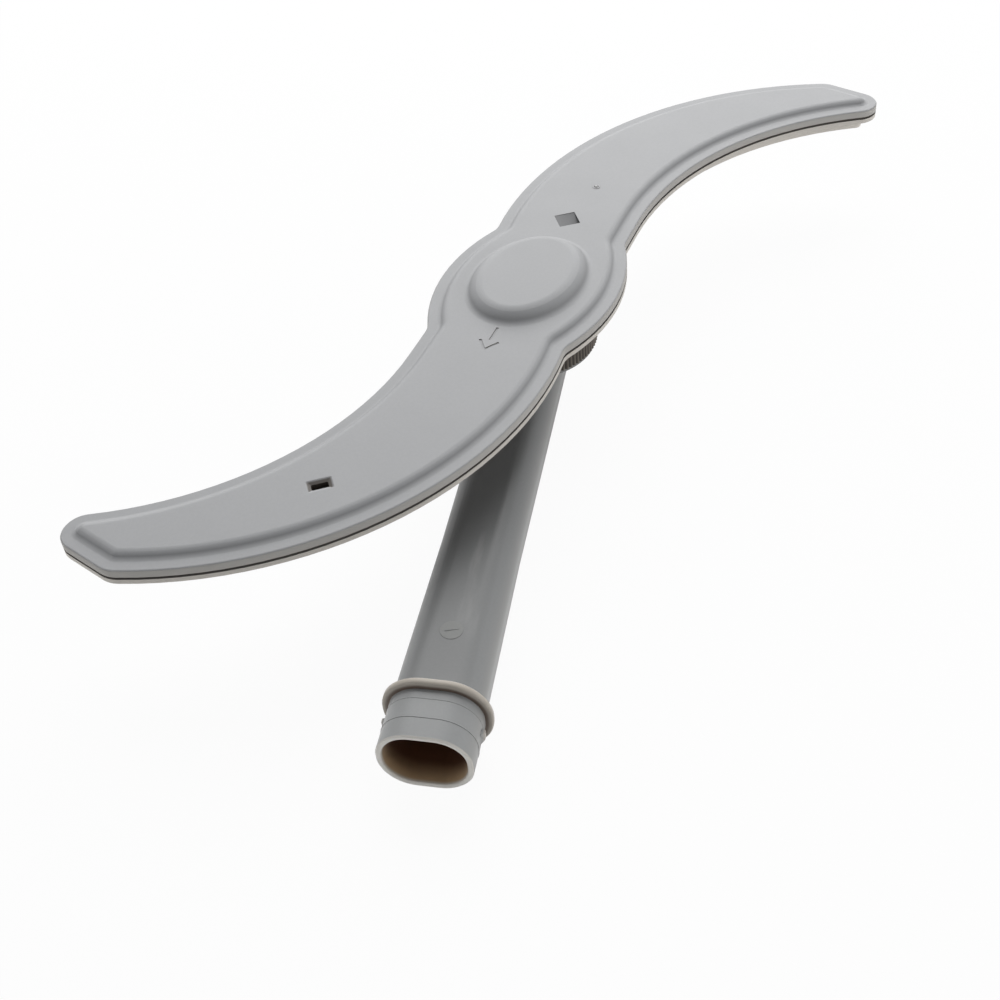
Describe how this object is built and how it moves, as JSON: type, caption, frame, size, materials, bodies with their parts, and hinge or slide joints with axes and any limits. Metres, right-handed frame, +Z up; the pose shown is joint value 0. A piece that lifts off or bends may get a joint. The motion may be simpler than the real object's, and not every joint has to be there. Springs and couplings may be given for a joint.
{
  "type": "dishwasher spray arm",
  "caption": "S-shaped two-shell spray arm that spins on a flattened feed tube, held by a ribbed ring nut, with a collared spigot at the tube's inlet.",
  "frame": {"origin": "on the arm's spin axis, at the level of the feed tube's flat underside", "axes": "+Z up along the spin axis, from the tube to the arm's domed face; -Y along the feed tube, from the spin axis to the inlet"},
  "size_m": [0.3078, 0.4299, 0.0668],
  "materials": {
    "arm_plastic": "satin",
    "bush_plastic": "satin",
    "nut_plastic": "satin",
    "tube_plastic": "satin"
  },
  "bodies": {
    "tube": {"feed_tube": "tube_plastic", "ring_nut": "nut_plastic"},
    "arm": {"upper_shell": "arm_plastic", "lower_shell": "arm_plastic", "hub_bush": "bush_plastic"}
  },
  "joints": [
    {"name": "arm_spin", "type": "hinge", "parent": "tube", "child": "arm", "pos_m": [0, 0, 0.0367], "axis": [0, 0, 1], "continuous": true}
  ]
}
